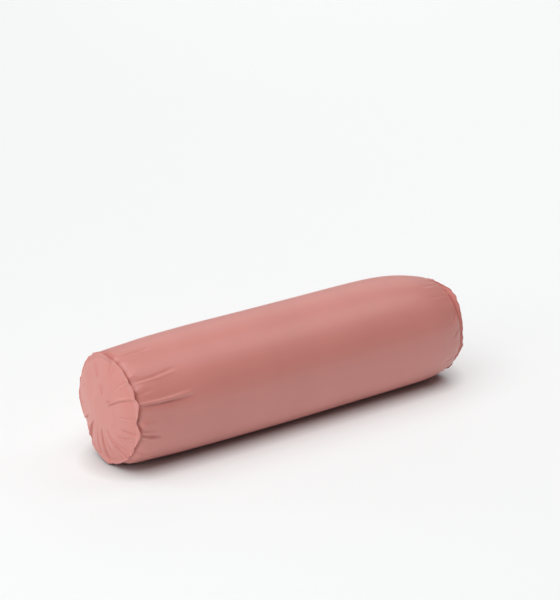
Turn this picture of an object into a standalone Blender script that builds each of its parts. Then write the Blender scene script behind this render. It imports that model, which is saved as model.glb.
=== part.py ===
"""Round bolster pillow: a foam core in a fibre wrap and a sewn liner, inside a zipped sateen cover
with a flanged panel at each end. Metres, +Z up, the bolster lies along X and rests on Z = 0.

The turned pieces are spun about the bolster's own axis, then pressed flat under the bolster and
behind the zip, so that the layers nest. The zip is laid out in its own frame, on the cover's flat.
"""

import math

import bmesh
import bpy
from mathutils import Vector

# Overall sizes
DIAMETER = 0.200
LENGTH = 0.680
FLOOR_FLAT = 0.052  # width of the strip that the bolster's weight presses flat

# Cover
CLOTH = 0.0010
NECK_NARROWING = 0.016  # from the full radius to the neck, where the end panel is sewn on
FLANGE_WIDTH = 0.006  # how far the sewn rims stand out from the neck
STRAIGHT_LENGTH = 0.400  # full diameter between the two shoulders
END_DOME = 0.005
GROOVE_HALF_WIDTH = 0.0012
GROOVE_DEPTH = 0.003
THREAD_RADIUS = 0.0005

# Insert
LINER = 0.0008
BATTING = 0.012
INSERT_EASE = 0.0011  # between cover and liner, which leaves room for the zip tapes
INSERT_SETBACK = 0.0042  # the liner's seam behind the cover's neck
INSERT_DOME = 0.009

# Zip, whose slider stands at the closed end
ZIP_ANGLE = math.radians(15)  # above the horizontal, at the back
COIL_LENGTH = 0.360
TAPE_WIDTH = 0.0120
TAPE = 0.0005
TAPE_OVERRUN = 0.0160
COIL_OUTER = 0.0030  # from the zip's centre line to a coil's sewn edge
COIL_HEIGHT = 0.0018
TOOTH_PITCH = 0.0080
TOOTH_DEPTH = 0.0006
CENTRE_SLIT = 0.0005  # half the space between the coils, where the slider's post runs
SLOT_HALF_WIDTH = 0.0055
SLOT_OVERRUN = 0.004  # of the slot past the stops
STOP_LENGTH = 0.0030
STOP_HEIGHT = 0.0028
SLIDER_LENGTH = 0.0090
PLATE = 0.0009
FLANGE_WALL = 0.0009
POST_HALF_WIDTH = 0.0002
BAIL_HALF_WIDTH = 0.0010
BAIL_SPAN = 0.0056
BAIL_STRIP = 0.0009
PULL_LENGTH = 0.0260
PULL_HALF_WIDTH = 0.0034
PULL = 0.0010
PULL_ARM = 0.0010
PULL_WINDOW = 0.0044
LABEL_LENGTH = 0.040
LABEL = 0.0004

GAP = 0.0003  # between pieces that touch
ARC_STEP = math.radians(11)  # the widest facet of a turned piece

RADIUS = DIAMETER / 2
NECK_RADIUS = RADIUS - NECK_NARROWING
FLANGE_RADIUS = NECK_RADIUS + FLANGE_WIDTH
FLOOR_ANGLE = math.asin(FLOOR_FLAT / 2 / RADIUS)
ZIP_FLAT_ANGLE = math.asin((TAPE_WIDTH + 0.001) / RADIUS)
AXIS_HEIGHT = RADIUS * math.cos(FLOOR_ANGLE)
ZIP_LEVEL = RADIUS * math.cos(ZIP_FLAT_ANGLE)  # the cover's outer face at the zip
PANEL_X = LENGTH / 2 - END_DOME  # outer face of the end panel at its rim
NECK_X = PANEL_X - 2 * CLOTH - GAP - GROOVE_HALF_WIDTH
STRAIGHT_X = STRAIGHT_LENGTH / 2

FLOOR_WAY = Vector((0, 0, -1))
ZIP_WAY = Vector((0, math.cos(ZIP_ANGLE), math.sin(ZIP_ANGLE)))

# Heights above the cover's outer face, in the zip's frame
TAPE_TOP = -CLOTH - GAP
COIL_BOTTOM = TAPE_TOP + GAP
COIL_TOP = COIL_BOTTOM + COIL_HEIGHT
TOP_PLATE_BOTTOM = COIL_TOP + GAP
TOP_PLATE_TOP = TOP_PLATE_BOTTOM + PLATE
LOWER_PLATE_TOP = TAPE_TOP - TAPE - GAP
LOWER_PLATE_BOTTOM = LOWER_PLATE_TOP - PLATE
SLIDER_HALF_WIDTH = COIL_OUTER + GAP + FLANGE_WALL
SLIDER_REST = COIL_LENGTH / 2 - GAP - SLIDER_LENGTH / 2
PULL_AXIS = TOP_PLATE_TOP + GAP + PULL / 2
BAIL_BOTTOM = PULL_AXIS + PULL / 2 + GAP
BAIL_TOP = BAIL_BOTTOM + BAIL_STRIP

ROSE_SATEEN = ("rose_sateen", (0.56, 0.27, 0.24), 0.6, 0.0)
LINER_COTTON = ("liner_cotton", (0.83, 0.80, 0.74), 0.85, 0.0)
FIBRE = ("polyester_fibre", (0.90, 0.90, 0.89), 0.95, 0.0)
FOAM = ("foam", (0.86, 0.79, 0.58), 0.9, 0.0)
ZIP_TAPE = ("zip_tape", (0.50, 0.24, 0.21), 0.8, 0.0)
NYLON = ("nylon_coil", (0.55, 0.27, 0.24), 0.4, 0.0)
ZINC = ("zinc_alloy", (0.70, 0.69, 0.68), 0.3, 1.0)
THREAD = ("sewing_thread", (0.50, 0.23, 0.20), 0.7, 0.0)
LABEL_SATIN = ("label_satin", (0.88, 0.86, 0.83), 0.5, 0.0)


def clear_scene():
    for obj in list(bpy.data.objects):
        bpy.data.objects.remove(obj, do_unlink=True)


def new_collection(name):
    collection = bpy.data.collections.new(name)
    bpy.context.scene.collection.children.link(collection)
    return collection


def material(spec):
    name, colour, roughness, metallic = spec
    found = bpy.data.materials.get(name)
    if found:
        return found
    made = bpy.data.materials.new(name)
    made.use_nodes = True
    shader = made.node_tree.nodes["Principled BSDF"]
    shader.inputs["Base Color"].default_value = (*colour, 1)
    shader.inputs["Roughness"].default_value = roughness
    shader.inputs["Metallic"].default_value = metallic
    return made


def empty(name, parent=None, location=(0, 0, 0), turn_about_x=0.0):
    obj = bpy.data.objects.new(name, None)
    obj.location = location
    obj.rotation_euler.x = turn_about_x
    obj.parent = parent
    PIECES.objects.link(obj)
    return obj


def piece(name, bm, finish, parent, location=(0, 0, 0)):
    """One named object from a bmesh, smooth where it is round."""
    mesh = bpy.data.meshes.new(name)
    bm.to_mesh(mesh)
    bm.free()
    mesh.shade_smooth()
    mesh.set_sharp_from_angle(angle=math.radians(40))
    mesh.materials.append(material(finish))
    obj = bpy.data.objects.new(name, mesh)
    obj.location = location
    obj.parent = parent
    PIECES.objects.link(obj)
    return obj


def tool(name, bm, parent, location=(0, 0, 0)):
    """A helper for a Boolean, which isn't a piece of the bolster."""
    mesh = bpy.data.meshes.new(name)
    bm.to_mesh(mesh)
    bm.free()
    obj = bpy.data.objects.new(name, mesh)
    obj.location = location
    obj.parent = parent
    obj.hide_render = True
    obj.display_type = "WIRE"
    TOOLS.objects.link(obj)
    return obj


def boolean(obj, operation, other):
    modifier = obj.modifiers.new(other.name, "BOOLEAN")
    modifier.operation = operation
    modifier.object = other


def boxes(*spans):
    """A bmesh of boxes, each given as (low corner, high corner)."""
    bm = bmesh.new()
    for low, high in spans:
        low, high = Vector(low), Vector(high)
        made = bmesh.ops.create_cube(bm, size=1.0)["verts"]
        bmesh.ops.scale(bm, vec=high - low, verts=made)
        bmesh.ops.translate(bm, vec=(low + high) / 2, verts=made)
    return bm


# ---- The bolster's own section: arcs between the two pressed flats


def arcs():
    """(span, steps) all the way round, from the front edge of the floor flat."""
    floor_end = -math.pi / 2 + FLOOR_ANGLE
    zip_start, zip_end = ZIP_ANGLE - ZIP_FLAT_ANGLE, ZIP_ANGLE + ZIP_FLAT_ANGLE
    round_again = 1.5 * math.pi - FLOOR_ANGLE
    spans = (
        (2 * FLOOR_ANGLE, 4),
        (zip_start - floor_end, None),
        (2 * ZIP_FLAT_ANGLE, 2),
        (round_again - zip_end, None),
    )
    return [(span, steps or math.ceil(span / ARC_STEP)) for span, steps in spans]


def spun(profile, closed=False, first_angle=None, spans=None):
    """A bmesh turned about X from (x, radius) points, along the section's arcs."""
    bm = bmesh.new()
    if first_angle is None:
        first_angle = -math.pi / 2 - FLOOR_ANGLE
    verts = [
        bm.verts.new((x, r * math.cos(first_angle), r * math.sin(first_angle)))
        for x, r in profile
    ]
    pairs = list(zip(verts, verts[1:]))
    if closed:
        pairs.append((verts[-1], verts[0]))
    geom = verts + [bm.edges.new(pair) for pair in pairs]
    for span, steps in spans or arcs():
        turned = bmesh.ops.spin(
            bm, geom=geom, cent=(0, 0, 0), axis=(1, 0, 0), angle=span, steps=steps
        )
        geom = turned["geom_last"]
    bmesh.ops.remove_doubles(bm, verts=bm.verts, dist=1e-6)
    bmesh.ops.recalc_face_normals(bm, faces=bm.faces)
    return bm


def press(bm, way, level):
    """Pushes back to `level` whatever stands further out along `way`."""
    for vert in bm.verts:
        excess = vert.co.dot(way) - level
        if excess > 0:
            vert.co -= way * excess


def face_outwards(bm, way_of):
    """Turns an open surface so that its faces look along way_of(face centre)."""
    lead = max(bm.faces, key=lambda face: face.calc_area())
    if lead.normal.dot(way_of(lead.calc_center_median())) < 0:
        bmesh.ops.reverse_faces(bm, faces=bm.faces)


def from_axis(point):
    return Vector((0, point.y, point.z))


def thickened(obj, thickness):
    """Gives an open surface its thickness, on the inner side."""
    modifier = obj.modifiers.new("thickness", "SOLIDIFY")
    modifier.thickness = thickness
    modifier.offset = -1
    modifier.use_even_offset = True
    return obj


def shoulder(radius, end_radius, end_x, points):
    """From the straight part to a seam: a full curve that steepens towards the seam."""
    fullness = 1.5
    found = []
    for i in range(points + 1):
        along = (1 - i / points) ** 2  # closer together where the curve is steep
        rise = (1 - (1 - along) ** fullness) ** (1 / fullness)
        x = end_x - (end_x - STRAIGHT_X) * along
        found.append((x, end_radius + (radius - end_radius) * rise))
    return found


def dome(rim_x, rim_radius, height, rings):
    """From a panel's rim to its centre."""
    shares = [1 - i / rings for i in range(rings + 1)]
    return [(rim_x + height * (1 - s * s), rim_radius * s) for s in shares]


def inset(half, distance):
    """The same half profile, moved square to itself towards the inside."""
    points = [Vector((-half[0][0], half[0][1]))] + [Vector(point) for point in half]
    ways = [(b - a).normalized() for a, b in zip(points, points[1:])]
    inwards = [Vector((way.y, -way.x)) for way in ways]
    found = []
    for i, point in enumerate(points[1:]):
        square = inwards[i]
        if i + 1 < len(inwards):
            square = (inwards[i] + inwards[i + 1]).normalized()
        found.append(tuple(point + square * distance / square.dot(inwards[i])))
    return found


def both_ends(half):
    """The right half of a profile, with its mirror image before it."""
    return [(-x, r) for x, r in reversed(half)] + half


def tube(name, half_profile, thickness, floor_level, zip_level, finish):
    bm = spun(both_ends(half_profile))
    press(bm, FLOOR_WAY, floor_level)
    press(bm, ZIP_WAY, zip_level)
    bm.normal_update()
    face_outwards(bm, from_axis)
    return thickened(piece(name, bm, finish, AXIS), thickness)


def panel(name, side, half_profile, thickness, finish):
    """A domed end panel. side is -1 at the left end and 1 at the right."""
    bm = spun([(side * x, r) for x, r in half_profile])
    bm.normal_update()
    face_outwards(bm, lambda point: Vector((side, 0, 0)))
    return thickened(piece(name, bm, finish, AXIS), thickness)


# ---- Cover


def make_cover():
    lip = NECK_RADIUS + GROOVE_DEPTH
    half = shoulder(RADIUS, lip, NECK_X - GROOVE_HALF_WIDTH, 5)
    half.append((NECK_X, NECK_RADIUS))
    half.append((NECK_X + GROOVE_HALF_WIDTH, lip))
    half.append((NECK_X + GROOVE_HALF_WIDTH, FLANGE_RADIUS))
    cover = tube("cover_body", half, CLOTH, AXIS_HEIGHT, ZIP_LEVEL, ROSE_SATEEN)
    slot_x = COIL_LENGTH / 2 + STOP_LENGTH + SLOT_OVERRUN
    slot_z = 6 * CLOTH
    slot = boxes(
        ((-slot_x, -SLOT_HALF_WIDTH, -slot_z), (slot_x, SLOT_HALF_WIDTH, slot_z))
    )
    boolean(cover, "DIFFERENCE", tool("zip_slot", slot, ZIP_FRAME))

    panel_half = dome(PANEL_X, NECK_RADIUS, END_DOME, 3)
    panel_half.insert(0, (PANEL_X, FLANGE_RADIUS))
    for side, end in SIDES:
        panel(f"cover_end_{end}", side, panel_half, CLOTH, ROSE_SATEEN)
        make_neck_thread(side, end)


def make_neck_thread(side, end):
    """The gathering thread, drawn tight in the groove between body and flange."""
    corners = 6
    half_angle = math.atan2(GROOVE_HALF_WIDTH, GROOVE_DEPTH)
    centre = NECK_RADIUS + (THREAD_RADIUS + GAP) / math.sin(half_angle)
    ring = []
    for i in range(corners):
        turn = 2 * math.pi * i / corners
        ring.append(
            (
                side * NECK_X + THREAD_RADIUS * math.cos(turn),
                centre + THREAD_RADIUS * math.sin(turn),
            )
        )
    piece(f"neck_thread_{end}", spun(ring, closed=True), THREAD, AXIS)


def make_label():
    """The blank care label, flat against the cover just above the zip."""
    radius = RADIUS - CLOTH - GAP
    span, steps = arcs()[-1]
    facets = 2
    profile = [(-LABEL_LENGTH / 2, radius), (LABEL_LENGTH / 2, radius)]
    bm = spun(
        profile,
        first_angle=ZIP_ANGLE + ZIP_FLAT_ANGLE,
        spans=[(span * facets / steps, facets)],
    )
    bm.normal_update()
    face_outwards(bm, from_axis)
    thickened(piece("care_label", bm, LABEL_SATIN, AXIS), LABEL)


# ---- Insert, from the outside in


def make_insert():
    radius = RADIUS - CLOTH - INSERT_EASE
    end_radius = NECK_RADIUS
    end_x = NECK_X - INSERT_SETBACK
    floor_level = AXIS_HEIGHT - CLOTH - GAP
    zip_level = ZIP_LEVEL + LOWER_PLATE_BOTTOM - GAP
    half = shoulder(radius, end_radius, end_x, 4)
    tube("liner_body", half, LINER, floor_level, zip_level, LINER_COTTON)
    face_x = end_x + GAP + LINER
    for side, end in SIDES:
        rings = dome(face_x, end_radius, INSERT_DOME, 2)
        panel(f"liner_end_{end}", side, rings, LINER, LINER_COTTON)

    layer = LINER + GAP
    radius, end_radius = radius - layer, end_radius - layer
    floor_level, zip_level = floor_level - layer, zip_level - layer
    face_x -= layer
    for side, end in SIDES:
        rings = dome(face_x, end_radius, INSERT_DOME, 2)
        panel(f"batting_end_{end}", side, rings, BATTING, FIBRE)
    end_x = face_x - BATTING - GAP
    half = shoulder(radius, end_radius, end_x, 3)
    tube("batting_wrap", half, BATTING, floor_level, zip_level, FIBRE)

    layer = BATTING + GAP
    half = inset(half, layer)
    half += dome(end_x, half[-1][1], INSERT_DOME, 2)
    core = spun(both_ends(half))
    press(core, FLOOR_WAY, floor_level - layer)
    press(core, ZIP_WAY, zip_level - layer)
    piece("foam_core", core, FOAM, AXIS)


# ---- Zip, in its own frame: X along it, Y down the cover, Z out of the cover


def coil_outline():
    """A coil's plan, from its sewn edge to the teeth along the centre slit."""
    half = COIL_LENGTH / 2
    teeth = round(COIL_LENGTH / TOOTH_PITCH)
    pitch = COIL_LENGTH / teeth
    valley, crest = CENTRE_SLIT + TOOTH_DEPTH, CENTRE_SLIT
    points = [(half, COIL_OUTER), (-half, COIL_OUTER)]
    for i in range(teeth):
        start = -half + i * pitch
        points += [
            (start, valley),
            (start + pitch * 0.25, crest),
            (start + pitch * 0.75, crest),
        ]
    return points + [(half, valley)]


def make_coil(name, side):
    curve = bpy.data.curves.new(name, "CURVE")
    curve.dimensions = "2D"
    curve.fill_mode = "BOTH"
    curve.extrude = COIL_HEIGHT / 2
    outline = coil_outline()
    spline = curve.splines.new("POLY")
    spline.points.add(len(outline) - 1)
    for point, (x, y) in zip(spline.points, outline):
        point.co = (x, side * y, 0, 1)
    spline.use_cyclic_u = True
    curve.materials.append(material(NYLON))
    obj = bpy.data.objects.new(name, curve)
    obj.location.z = COIL_BOTTOM + COIL_HEIGHT / 2
    obj.parent = ZIP_FRAME
    PIECES.objects.link(obj)


def make_tapes_and_coils():
    half = COIL_LENGTH / 2 + TAPE_OVERRUN
    stop_x = COIL_LENGTH / 2 + GAP
    for side, row in ((-1, "upper"), (1, "lower")):
        near, far = sorted((side * CENTRE_SLIT, side * TAPE_WIDTH))
        tape = boxes(((-half, near, TAPE_TOP - TAPE), (half, far, TAPE_TOP)))
        piece(f"zip_tape_{row}", tape, ZIP_TAPE, ZIP_FRAME)
        make_coil(f"zip_coil_{row}", side)
        near, far = sorted((side * CENTRE_SLIT, side * SLIDER_HALF_WIDTH))
        stop = boxes(
            (
                (stop_x, near, COIL_BOTTOM),
                (stop_x + STOP_LENGTH, far, COIL_BOTTOM + STOP_HEIGHT),
            )
        )
        piece(f"zip_top_stop_{row}", stop, ZINC, ZIP_FRAME)
    stop = boxes(
        (
            (-stop_x - STOP_LENGTH, -SLIDER_HALF_WIDTH, COIL_BOTTOM),
            (-stop_x, SLIDER_HALF_WIDTH, COIL_BOTTOM + STOP_HEIGHT),
        )
    )
    piece("zip_bottom_stop", stop, ZINC, ZIP_FRAME)


def make_slider():
    """Two plates joined by the post between the coils, with a bail over the pull's bar."""
    frame = empty("slider_frame", ZIP_FRAME, (SLIDER_REST, 0, 0))
    x, y = SLIDER_LENGTH / 2, SLIDER_HALF_WIDTH
    bite = 0.0002  # how far the joined shapes run into each other
    top = boxes(((-x, -y, TOP_PLATE_BOTTOM), (x, y, TOP_PLATE_TOP)))
    slider = piece("zip_slider", top, ZINC, frame)
    parts = {
        "lower_plate": ((-x, -y, LOWER_PLATE_BOTTOM), (x, y, LOWER_PLATE_TOP)),
        "post": (
            (x * 0.2, -POST_HALF_WIDTH, LOWER_PLATE_TOP - bite),
            (x * 0.85, POST_HALF_WIDTH, TOP_PLATE_BOTTOM + bite),
        ),
        "bail": (
            (-BAIL_SPAN / 2, -BAIL_HALF_WIDTH, TOP_PLATE_TOP - bite),
            (BAIL_SPAN / 2, BAIL_HALF_WIDTH, BAIL_TOP),
        ),
    }
    for side, name in ((-1, "upper_flange"), (1, "lower_flange")):
        near, far = sorted((side * (y - FLANGE_WALL), side * y))
        parts[name] = (
            (-x, near, TAPE_TOP + GAP),
            (x, far, TOP_PLATE_BOTTOM + bite),
        )
    for name, (low, high) in parts.items():
        boolean(slider, "UNION", tool(name, boxes((low, high)), frame))
    inner = BAIL_SPAN / 2 - BAIL_STRIP
    eye = boxes(
        ((-inner, -2 * BAIL_HALF_WIDTH, TOP_PLATE_TOP), (inner, 2 * BAIL_HALF_WIDTH, BAIL_BOTTOM))
    )
    boolean(slider, "DIFFERENCE", tool("bail_eye", eye, frame))
    return frame


def make_pull(slider_frame):
    """The tab, whose bar turns under the bail. Its origin is on the bar's axis."""
    hinge = empty("pull_hinge", slider_frame, (0, 0, PULL_AXIS))
    inner = BAIL_HALF_WIDTH + GAP
    tab = boxes(
        ((-PULL / 2, -PULL_HALF_WIDTH, -PULL / 2), (PULL_LENGTH, PULL_HALF_WIDTH, PULL / 2))
    )
    pull = piece("zip_pull", tab, ZINC, hinge)
    window = boxes(((PULL / 2, -inner, -PULL), (PULL_WINDOW, inner, PULL)))
    boolean(pull, "DIFFERENCE", tool("pull_window", window, hinge))
    hip = inner + PULL_ARM
    for side, name in ((-1, "upper_shoulder"), (1, "lower_shoulder")):
        near, far = sorted((side * hip, side * 2 * PULL_HALF_WIDTH))
        cut = boxes(((-PULL, near, -PULL), (PULL_WINDOW * 0.75, far, PULL)))
        boolean(pull, "DIFFERENCE", tool(name, cut, hinge))


clear_scene()
PIECES = new_collection("bolster_pillow")
TOOLS = new_collection("cutters")
SIDES = ((-1, "left"), (1, "right"))
AXIS = empty("bolster_axis", location=(0, 0, AXIS_HEIGHT))
ZIP_FRAME = empty("zip_frame", AXIS, ZIP_WAY * ZIP_LEVEL, ZIP_ANGLE - math.pi / 2)
make_cover()
make_label()
make_insert()
make_tapes_and_coils()
make_pull(make_slider())
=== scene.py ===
import math

import bmesh
import bpy
import numpy as np
from mathutils import Matrix, Vector


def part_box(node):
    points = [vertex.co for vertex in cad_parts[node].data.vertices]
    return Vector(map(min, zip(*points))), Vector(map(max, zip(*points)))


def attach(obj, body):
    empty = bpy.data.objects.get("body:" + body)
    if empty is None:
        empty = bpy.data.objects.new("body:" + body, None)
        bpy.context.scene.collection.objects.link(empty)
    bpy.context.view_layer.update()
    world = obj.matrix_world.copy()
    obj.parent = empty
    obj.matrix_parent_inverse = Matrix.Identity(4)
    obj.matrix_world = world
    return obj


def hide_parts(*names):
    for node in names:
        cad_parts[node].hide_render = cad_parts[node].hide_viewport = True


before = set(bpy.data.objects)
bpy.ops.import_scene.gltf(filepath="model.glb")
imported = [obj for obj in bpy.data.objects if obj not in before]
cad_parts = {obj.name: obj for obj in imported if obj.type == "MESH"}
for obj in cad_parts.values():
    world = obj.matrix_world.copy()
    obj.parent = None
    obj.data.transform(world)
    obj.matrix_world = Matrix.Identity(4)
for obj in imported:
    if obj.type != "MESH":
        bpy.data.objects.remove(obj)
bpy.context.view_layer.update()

# Sizes below are in mm, and MM turns them into the scene's metres.
MM = 0.001

# ---- Cover body
# A tube of dusty-pink cotton sateen, cut full, and drawn in by a thread at both necks. Past the neck
# its edge turns out as a collar, which is sewn to the end panel's rim, so a soft double flange stands
# out. The insert fills it firmly, so it stays smooth but for the gathers that run out of the necks.

thread_low, thread_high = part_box("neck_thread_left")
AXIS_Z = (thread_low.z + thread_high.z) / 2
AXIS = np.array([0, 0, AXIS_Z])
BODY_RADIUS = 100.0
NECK_X, NECK_RADIUS = 331.5, {-1: 84.0, 1: 77.0}
COLLAR_X, RIM_EASE = 332.9, 1.8
ZIP_ANGLE, ZIP_LEVEL, ZIP_STRIP_HALF = math.radians(15), 99.15, 24.0
SLOT_X, SLOT_COLUMNS = 187.0, 3
HEM_X, HEM_HALF, HEM_RISE, HEM_STEP, HEM_FADE = 196.0, 13.0, 0.25, 0.8, 6.0
CLOTH = 0.9
AROUND = 320
ANGLES = ZIP_ANGLE + np.linspace(0, 2 * np.pi, AROUND, endpoint=False)
SLOT_HALF = ZIP_LEVEL * math.tan(2 * math.pi * SLOT_COLUMNS / AROUND)

# (mm in from the neck, radius of the filled body there)
FILLED = {
    -1: [(0, 83.6), (1.5, 86.5), (4, 89.4), (8, 91.6), (14, 93.0), (25, 94.4), (50, 96.0), (100, 98.4),
         (150, 99.4), (200, 99.9), (331, 100)],
    1: [(0, 79.2), (3, 81.8), (8, 84.3), (16, 87.3), (31, 91.0), (45, 93.8), (60, 95.8), (85, 97.8),
        (110, 98.9), (150, 99.6), (331, 100)],
}
# How far each neck has sunk below the axis.
END_SAG = {-1: 0.0, 1: 6.0}


def smooth_curve(knots, at):
    """A smooth curve through (place, value) knots that never overshoots them."""
    x, y = np.array(knots, float).T
    slope = np.diff(y) / np.diff(x)
    rate = np.zeros_like(y)
    same = slope[:-1] * slope[1:] > 0
    rate[1:-1][same] = 2 * slope[:-1][same] * slope[1:][same] / (slope[:-1] + slope[1:])[same]
    rate[0], rate[-1] = slope[0], slope[-1]
    i = np.clip(np.searchsorted(x, at, side="right") - 1, 0, len(x) - 2)
    h = x[i + 1] - x[i]
    t = np.clip((at - x[i]) / h, 0, 1)
    return (
        y[i] * (1 + 2 * t) * (1 - t) ** 2 + y[i + 1] * t * t * (3 - 2 * t)
        + h * rate[i] * t * (1 - t) ** 2 + h * rate[i + 1] * t * t * (t - 1)
    )


def periodic(knots, angles):
    """A smooth closed curve through (degrees, value) knots."""
    around = sorted((degrees % 360, value) for degrees, value in knots)
    before = [(degrees - 360, value) for degrees, value in around[-3:]]
    after = [(degrees + 360, value) for degrees, value in around[:3]]
    return smooth_curve(before + around + after, np.degrees(angles) % 360)


def waves(angles, seed, low, high, count):
    """Irregular waves round the neck, between low and high waves a turn, about 1 high."""
    rng = np.random.default_rng(seed)
    total = np.zeros_like(angles)
    for _ in range(count):
        height = rng.uniform(0.4, 1)
        total += height * np.cos(rng.integers(low, high + 1) * angles + rng.uniform(0, 2 * np.pi))
    return total / math.sqrt(count)


# (degrees round the end, radius of the rim there)
RIMS = {
    -1: [(75, 94), (101, 91.5), (127, 93.5), (140, 97.5), (150, 93), (158, 99), (167, 92.5), (176, 85.5),
         (186, 94), (198, 90.5), (209, 87.5), (238, 87), (255, 90), (281, 95), (300, 96), (312, 81),
         (329, 78.5), (352, 85), (10, 87), (26, 84), (40, 88), (55, 91)],
    1: [(0, 84), (20, 82), (45, 82), (68, 79), (86, 79), (103, 81), (116, 85), (130, 88), (146, 85),
        (161, 81), (177, 79), (196, 81), (206, 79), (221, 79), (238, 84), (255, 84), (275, 85), (300, 83),
        (330, 84)],
}
LEANS = {-1: 1.4, 1: 3.0}


def rim_radius(side, angles):
    return periodic(RIMS[side], angles) + 0.5 * waves(angles, 5 + side, 17, 41, 6)


def flange_lean(side, angles):
    """How far the rim leans outwards, in mm."""
    broad, fine = waves(angles, 21 + side, 5, 17, 7), waves(angles, 31 + side, 19, 37, 6)
    return LEANS[side] + 1.5 * broad + 0.6 * fine


# (degrees at its start and its end, how far from the neck they are, depth, half width, ridge beside it)
CREASES = {
    -1: [
        (134.5, 131.0, 5, 84, 1.9, 1.9, 1.2), (98.5, 99.5, 14, 66, 2.1, 2.0, 1.2),
        (158.5, 161.2, -4, 104, 3.6, 2.2, -3.6), (189.0, 195.0, -4, 40, 4.2, 2.0, 1.6),
        (184.0, 186.0, -2, 30, 2.0, 1.7, 0.8), (147.0, 145.0, -2, 36, 0.6, 2.2, 0.4),
        (174.0, 177.0, -2, 40, 0.7, 2.6, 0.5), (214.0, 219.0, 0, 46, 1.3, 2.2, 0.8),
        (78.0, 76.0, 0, 56, 1.0, 2.0, 0.7), (52.0, 50.0, 0, 70, 1.4, 2.0, 0.9),
        (24.0, 22.0, 0, 48, 1.5, 2.0, 0.8), (-6.0, -4.0, 0, 84, 1.4, 2.2, 1.0),
        (-32.0, -36.0, 0, 44, 1.3, 2.0, 0.6),
    ],
    1: [
        (104.0, 112.0, 0, 52, 1.2, 2.2, 0.7), (148.0, 160.0, 0, 26, 2.2, 2.2, 0.9),
        (165.0, 176.0, 2, 24, 1.8, 2.2, 0.7), (200.0, 206.0, 0, 40, 1.6, 2.4, 0.7),
        (124.0, 128.0, 0, 60, 0.8, 2.6, 0.5), (80.0, 78.0, 0, 66, 1.2, 2.2, 0.8),
        (58.0, 56.0, 0, 44, 1.2, 2.2, 0.6), (30.0, 33.0, 0, 78, 1.5, 2.2, 1.0),
        (2.0, 0.0, 0, 52, 1.2, 2.2, 0.6), (-28.0, -24.0, 0, 60, 1.4, 2.2, 0.8),
    ],
}


# Angles beside a crease are turned into mm at this radius.
CREASE_RADIUS = 95


def crease(across, along, depth, half_width, ridge):
    """A sharp-bottomed fold with a soft ridge beside it, fading at both its ends."""
    fade = np.clip(along * (1 - along) * 4, 0, None) ** 0.7 * ((along > 0) & (along < 1))
    valley = depth * np.exp(-np.abs(across) / half_width)
    swell_at = math.copysign(1.9, ridge) * half_width
    swell = abs(ridge) * np.exp(-(((across - swell_at) / (1.2 * half_width)) ** 2))
    return fade * (swell - valley)


def named_creases(side, w, angles):
    """Radial change in mm of the creases above, w mm from the neck, on a grid of w by angle."""
    total = 0 * w * angles[None]
    for first, last, start, end, depth, half_width, ridge in CREASES[side]:
        along = (w - start) / (end - start)
        share = np.clip(along, 0, 1)
        middle = np.radians(first + (last - first) * share + 1.3 * np.sin(np.pi * share))
        off = (angles[None] - middle + np.pi) % (2 * np.pi) - np.pi
        total = total + crease(off * CREASE_RADIUS, along, depth, half_width * (0.6 + 0.8 * share), ridge)
    return total


def gathers(side, w, angles):
    """Radial change in mm of the cloth that the thread draws in, before the filling stretches it."""
    fine = waves(angles, 41 + side, 26, 44, 9)[None]
    broad = waves(angles, 51 + side, 11, 24, 7)[None]
    return fine * 0.9 * np.exp(-w / 10) + broad * (0.9 * np.exp(-w / 24) + 0.2 * np.exp(-w / 60))


STATIONS = np.concatenate([
    [0, 0.4, 0.9, 1.5, 2.3, 3.2, 4.4, 5.8],
    np.arange(7.5, 60, 2.0),
    np.linspace(60, NECK_X - SLOT_X, 22),
    np.linspace(NECK_X - SLOT_X, 330, 25)[1:],
])
COLLAR_SHARES = (1, 0.85, 0.65, 0.45, 0.28, 0.12, 0.0)


def body_grid(gathered=1.0, shrink=0.0):
    """Points of the cover's outer face, one row for each station from the left rim to the right one."""
    rows = []
    for side in (-1, 1):
        w = STATIONS[:, None]
        r = smooth_curve(FILLED[side], w) - shrink * np.clip(w / 20, 0, 1)
        r = r + gathered * gathers(side, w, ANGLES)
        sag = END_SAG[side] * np.exp(-((w / 70) ** 2))
        x = side * (NECK_X - w) + 0 * r
        neck = NECK_RADIUS[side] + 0 * ANGLES
        rim, lean = rim_radius(side, ANGLES), flange_lean(side, ANGLES)
        collar_x, collar_r = [], []
        for share in COLLAR_SHARES:
            collar_r.append(neck + (rim - RIM_EASE - neck) * share)
            collar_x.append(side * (COLLAR_X + lean * share**1.5 - 0.5 * (1 - min(share * 6, 1)) ** 2))
        x = np.concatenate([np.array(collar_x), x])
        r = np.concatenate([np.array(collar_r), r])
        sag = np.concatenate([np.full((len(COLLAR_SHARES), 1), END_SAG[side]), sag])
        points = np.stack([x, r * np.cos(ANGLES), r * np.sin(ANGLES) - sag], -1)
        rows.append(points if side < 0 else points[::-1])
    points = np.concatenate(rows)
    # Slow unevenness of the filling, along and round the body.
    inner = np.clip((NECK_X - np.abs(points[..., 0])) / 40, 0, 1)
    ripple = np.sin(points[..., 0] / 61 + 2.1 * np.sin(ANGLES * 2)[None])
    soft = 1 + 0.0035 * inner * ripple * np.cos(3 * ANGLES)[None]
    points[..., 1:] *= soft[..., None]
    return points * MM


def creased(points):
    """Adds the creases to the rows of the body between its necks."""
    for side in (-1, 1):
        w = NECK_X - side * points[:, :1, 0] / MM
        rise = named_creases(side, w, ANGLES) * (w > 0)
        points[..., 1] += rise * np.cos(ANGLES) * MM
        points[..., 2] += rise * np.sin(ANGLES) * MM
    return points


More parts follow.
